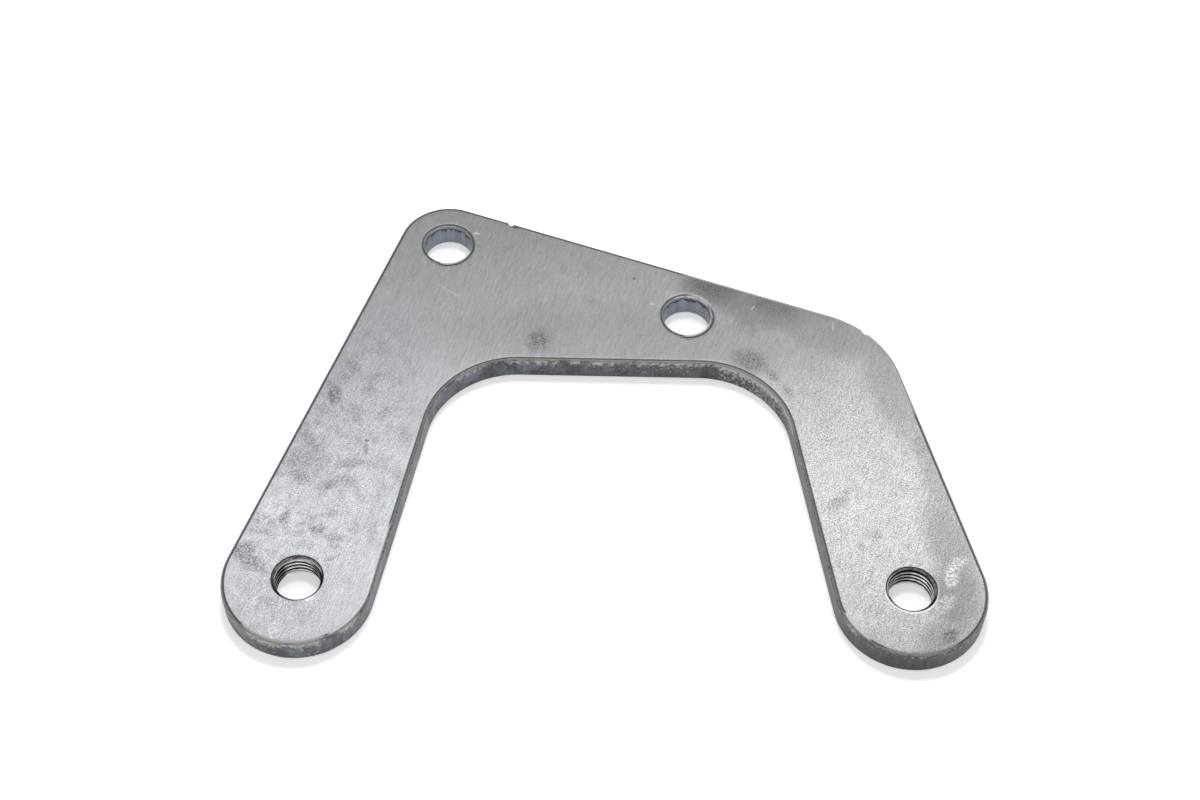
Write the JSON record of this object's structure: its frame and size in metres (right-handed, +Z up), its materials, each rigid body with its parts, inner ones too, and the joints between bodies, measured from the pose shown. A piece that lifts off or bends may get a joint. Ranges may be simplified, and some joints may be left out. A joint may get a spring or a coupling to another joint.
{
  "type": "caliper bracket",
  "caption": "Flat steel plate bracket with round-ended arms around a wide opening, a tapped hole in each arm end and plain bolt holes along its long edge.",
  "frame": {"origin": "centre of the plate's outline, at its underside", "axes": "+X along the line from the left tapped hole to the right one, +Y towards the edge with the plain holes, +Z up out of the plate's face"},
  "size_m": [0.1666, 0.1242, 0.0063],
  "materials": {
    "mild_steel": "bare mild steel plate with a fine mill grain and darker laser-cut edges"
  },
  "bodies": {
    "root": {"caliper_bracket": "mild_steel"}
  },
  "joints": []
}
